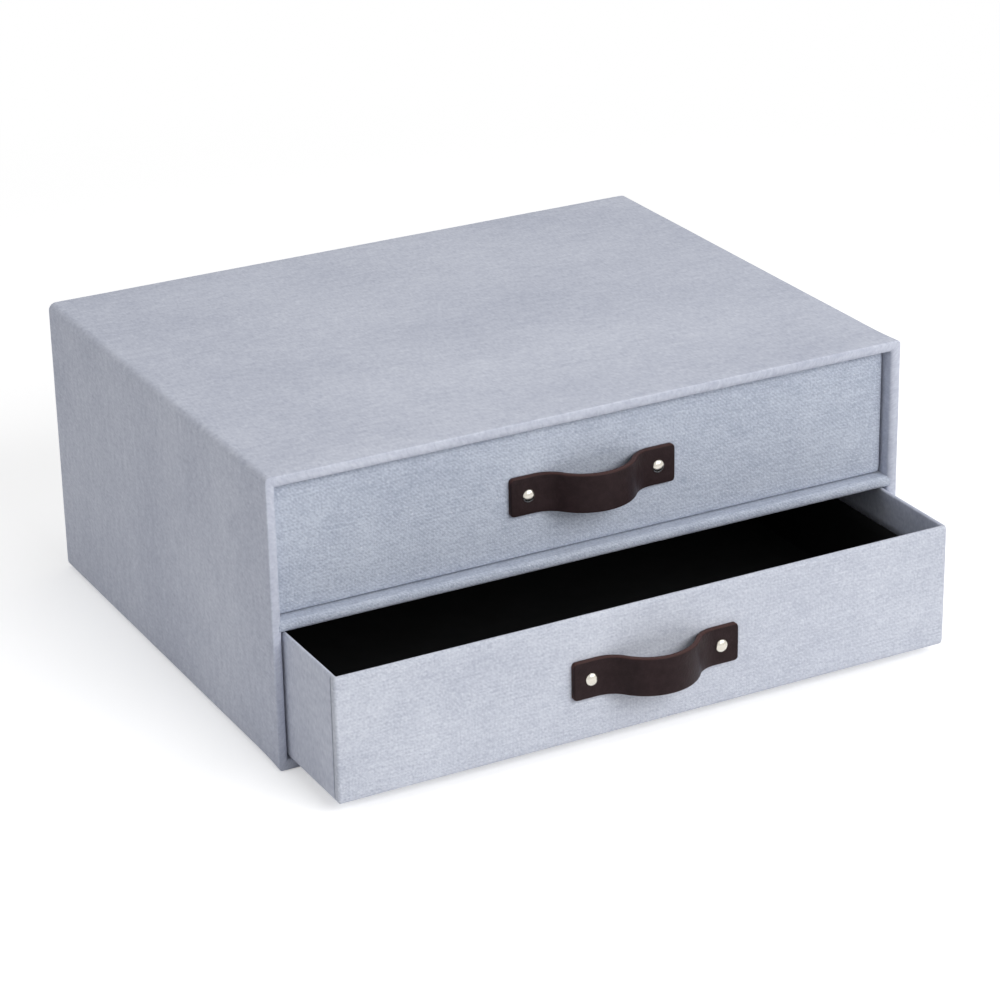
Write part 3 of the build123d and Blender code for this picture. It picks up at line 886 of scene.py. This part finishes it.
def photo_camera():
    """The camera of the photograph, fitted to the long edges of the casing, the shelf and a drawer."""
    place = (-0.6967, -1.3554, 0.7091)
    yaw, pitch, roll = radians(27.782), radians(23.421), radians(1.115)
    ahead = Vector((sin(yaw) * cos(pitch), cos(yaw) * cos(pitch), -sin(pitch)))
    level = Vector((cos(yaw), -sin(yaw), 0))
    down = ahead.cross(level)
    right = cos(roll) * level + sin(roll) * down
    up = sin(roll) * level - cos(roll) * down
    lens = bpy.data.cameras.new("photo_camera")
    lens.lens = 119.14
    lens.sensor_width = 36
    camera = bpy.data.objects.new("photo_camera", lens)
    turn = Matrix((right, up, -ahead)).transposed()
    camera.matrix_world = Matrix.Translation(place) @ turn.to_4x4()
    bpy.context.scene.collection.objects.link(camera)
    bpy.context.scene.camera = camera


# Finishes
linen = linen_bookcloth("linen_bookcloth", "#D8DCE8", "#AFB4C5", contrast=1.09, rib_share=0.03,
                        thread=(0.92, 2.6), streak=(12, 3.5))
# The upper front and the shelf take a darker, bluer copy of the front cloth: painted shade of the casing's
# recess, partly a deeper cloth tone
front_linen = {
    "upper_drawer": linen_bookcloth("upper_front_bookcloth_painted_shade", "#C9D0DD", "#A0A8BA", contrast=2.35,
                                    rib_share=0.065, thread=(0.68, 0.68), streak=(14, 1.1)),
    "lower_drawer": linen_bookcloth("lower_front_bookcloth", "#D8DCE6", "#AFB4C3", contrast=1.72,
                                    rib_share=0.045, thread=(0.74, 0.74), streak=(14, 1.1)),
}
leather = strap_leather()
nickel = nickel_plate()
lining = black_paper()
greyboard = raw_greyboard()

# CAD pieces that keep their shape take their finish by slot
slot_finish = {"greyboard": greyboard, "lining": lining, "linen": linen, "leather": leather,
               "rivet_metal": nickel}
for subpart in frame["record"]["subparts"]:
    piece_mesh = frame["nodes"][subpart["node"]].data
    piece_mesh.materials.clear()
    piece_mesh.materials.append(slot_finish[subpart["material_slot"]])

finish_piece(casing_cover(), "casing", linen, "linen", "casing_linen")
# The shelf takes the upper front's darker copy of the cloth, as painted shade of the recess
finish_piece(shelf_cover(), "casing", front_linen["upper_drawer"], "linen", "shelf_linen")
finish_piece(back_cover(), "casing", linen, "linen", "casing_back_sheet")

path_points = strap_path()
strap_lengths = lengths(path_points)
strap_rivets = np.interp([-RIVET_SPACING / 2, RIVET_SPACING / 2], path_points[:, 0], strap_lengths)
guide_curve = path_curve(path_points)
bend = bending_tree()
in_a_row = fastener_tree()

for number, drawer in enumerate(("upper_drawer", "lower_drawer"), 1):
    front_low, front_high = box_mm(f"{drawer}_front_linen")
    body_back = box_mm(f"{drawer}_body_linen")[1][1]
    lining_right = box_mm(f"{drawer}_lining")[1][0]
    strap_low, strap_high = box_mm(f"{drawer}_strap")
    rivets_back = box_mm(f"{drawer}_rivets")[1][1]
    half_drawer = front_high[0]
    tray_wall = half_drawer - lining_right + cloth
    underside, rim = front_low[2], front_high[2]

    front_piece = tray_cover(f"{drawer}_front_cloth", front_low[1], front_high[1], half_drawer, underside,
                             rim, tray_wall, (64, 3, 8), seed=20.0 + number, lapped=False)
    finish_piece(front_piece, drawer, front_linen[drawer], "linen", f"{drawer}_front_linen")
    body_front = front_high[1] + SEAM_WIDTH
    body_piece = tray_cover(f"{drawer}_body_cloth", body_back, body_front, half_drawer, underside,
                            rim, tray_wall, (64, 48, 8), seed=40.0 + number, lapped=True)
    finish_piece(body_piece, drawer, linen, "linen", f"{drawer}_body_linen")
    lining_piece = tray_lining(f"{drawer}_paper", f"{drawer}_lining")
    finish_piece(lining_piece, drawer, lining, "lining", f"{drawer}_lining")

    strap_middle = (strap_low[2] + strap_high[2]) / 2
    strip = flat_strap(strap_lengths[-1], strap_high[2] - strap_low[2], strap_rivets)
    strap = grow(f"{drawer}_leather_strap", bend, strip.data,
                 {"Path": guide_curve, "Place": (0, strap_high[1] * MM, strap_middle * MM),
                  "Finish": leather})
    bpy.data.objects.remove(strip)
    finish_piece(strap, drawer, leather, "leather", f"{drawer}_strap")

    strap_face = strap_high[1] - STRAP_THICKNESS
    rivets = fasteners(f"{drawer}_rivet_heads", in_a_row, rivet_profile(rivets_back - strap_face),
                       strap_face + RIVET_DENT, strap_middle, nickel)
    finish_piece(rivets, drawer, nickel, "rivet_metal", f"{drawer}_rivets")
    caps = fasteners(f"{drawer}_inner_caps", in_a_row, cap_profile(), rivets_back, strap_middle, nickel)
    finish_piece(caps, drawer, nickel, "rivet_metal", f"{drawer}_rivet_caps")

bpy.data.objects.remove(guide_curve)

floor_plane(size=8.0)
white_room(strength=0.31)
softbox("overhead_softbox", (0.15, 0.0, 1.6), (0, -0.1, 0.07), width=1.1, height=1.1, power=5.0)
softbox("front_softbox", (0.6, -1.72, 1.2), (0, -0.13, 0.07), width=1.7, height=1.0, power=27)
softbox("left_softbox", (-1.9, 0.4, 0.9), (0, 0, 0.07), width=1.4, height=1.0, power=4.6)
photo_camera()
bpy.context.scene.view_settings.view_transform = "Standard"
